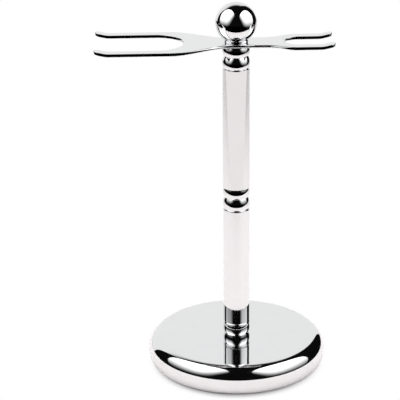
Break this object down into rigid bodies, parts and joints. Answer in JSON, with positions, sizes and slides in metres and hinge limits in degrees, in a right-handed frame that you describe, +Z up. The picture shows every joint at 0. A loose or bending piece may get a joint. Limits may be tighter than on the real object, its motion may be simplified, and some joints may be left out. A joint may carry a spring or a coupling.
{
  "type": "razor and brush stand",
  "caption": "Chrome tabletop stand with a round weighted base, a beaded column, a swivelling fork plate for a shaving brush and a razor, and a ball knob.",
  "frame": {"origin": "centre of the pad's underside, on the column's axis", "axes": "+Z up the column; -X towards the wide brush fork, +X towards the narrow razor fork, +Y to the back"},
  "size_m": [0.1106, 0.0858, 0.1815],
  "materials": {
    "polished_chrome": "mirror-polished chrome plate",
    "zinc_plated_steel": "bright zinc plate, satin",
    "brass": "turned brass, unplated",
    "cast_iron": "rough cast, oiled",
    "rubber_foam": "matt cellular rubber"
  },
  "bodies": {
    "stand": {"base_shell": "polished_chrome", "base_weight": "cast_iron", "base_pad": "rubber_foam", "base_washer": "zinc_plated_steel", "base_spring_washer": "zinc_plated_steel", "base_screw": "zinc_plated_steel", "foot_collar": "polished_chrome", "lower_tube": "polished_chrome", "lower_tube_foot_plug": "brass", "lower_tube_head_plug": "brass", "middle_collar": "polished_chrome", "joining_stud": "zinc_plated_steel", "upper_tube": "polished_chrome", "upper_tube_foot_plug": "brass", "upper_tube_head_plug": "brass", "top_collar": "polished_chrome", "top_stud": "zinc_plated_steel"},
    "fork": {"fork_plate": "polished_chrome"},
    "knob_seat": {"knob_washer": "polished_chrome"},
    "knob": {"ball_knob": "polished_chrome"}
  },
  "joints": [
    {"name": "fork_swivel", "type": "hinge", "parent": "stand", "child": "fork", "pos_m": [0, 0, 0.16135], "axis": [0, 0, 1], "continuous": true},
    {"name": "knob_rise", "type": "slide", "parent": "stand", "child": "knob_seat", "axis": [0, 0, 1], "range_m": [0, 0.008]},
    {"name": "knob_turn", "type": "hinge", "parent": "knob_seat", "child": "knob", "pos_m": [0, 0, 0.1641], "axis": [0, 0, 1], "range_deg": [0, 2880]}
  ],
  "couplings": [
    {"joint": "knob_rise", "follows": "knob_turn", "m_per_rad": 0.00015915}
  ]
}
